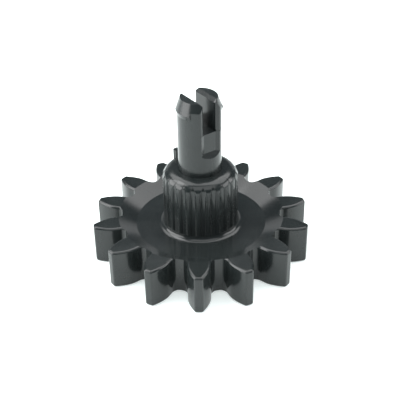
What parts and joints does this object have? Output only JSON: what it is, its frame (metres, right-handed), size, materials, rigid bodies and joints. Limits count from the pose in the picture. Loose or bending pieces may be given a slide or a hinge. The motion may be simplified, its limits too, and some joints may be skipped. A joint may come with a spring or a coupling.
{
  "type": "planet pinion on snap pin",
  "caption": "Moulded planet pinion with a dished web and a ribbed hub, turning on a pin whose split, barbed end snaps into a carrier.",
  "frame": {"origin": "on the pinion's axis, in the plane of its lower tooth faces", "axes": "+Z along the pin towards its split end; +X and +Y in the plane of the teeth, one tooth pointing close to -Y"},
  "size_m": [0.0398, 0.0404, 0.0317],
  "materials": {
    "pinion_plastic": "satin",
    "pin_plastic": "satin"
  },
  "bodies": {
    "pin": {"snap_pin": "pin_plastic"},
    "pinion": {"planet_pinion": "pinion_plastic"},
    "front_prong": {"front_prong": "pin_plastic"},
    "back_prong": {"back_prong": "pin_plastic"}
  },
  "joints": [
    {"name": "pinion_spin", "type": "hinge", "parent": "pin", "child": "pinion", "pos_m": [0, 0, 0], "axis": [0, 0, 1], "continuous": true},
    {"name": "front_prong_flex", "type": "hinge", "parent": "pin", "child": "front_prong", "pos_m": [-0.00102, -0.00072, 0.0257], "axis": [-0.5736, 0.8192, 0], "range_deg": [0, 6], "stiffness_Nm_per_rad": 0.3},
    {"name": "back_prong_flex", "type": "hinge", "parent": "pin", "child": "back_prong", "pos_m": [0.00102, 0.00072, 0.0257], "axis": [0.5736, -0.8192, 0], "range_deg": [0, 6], "stiffness_Nm_per_rad": 0.3}
  ]
}
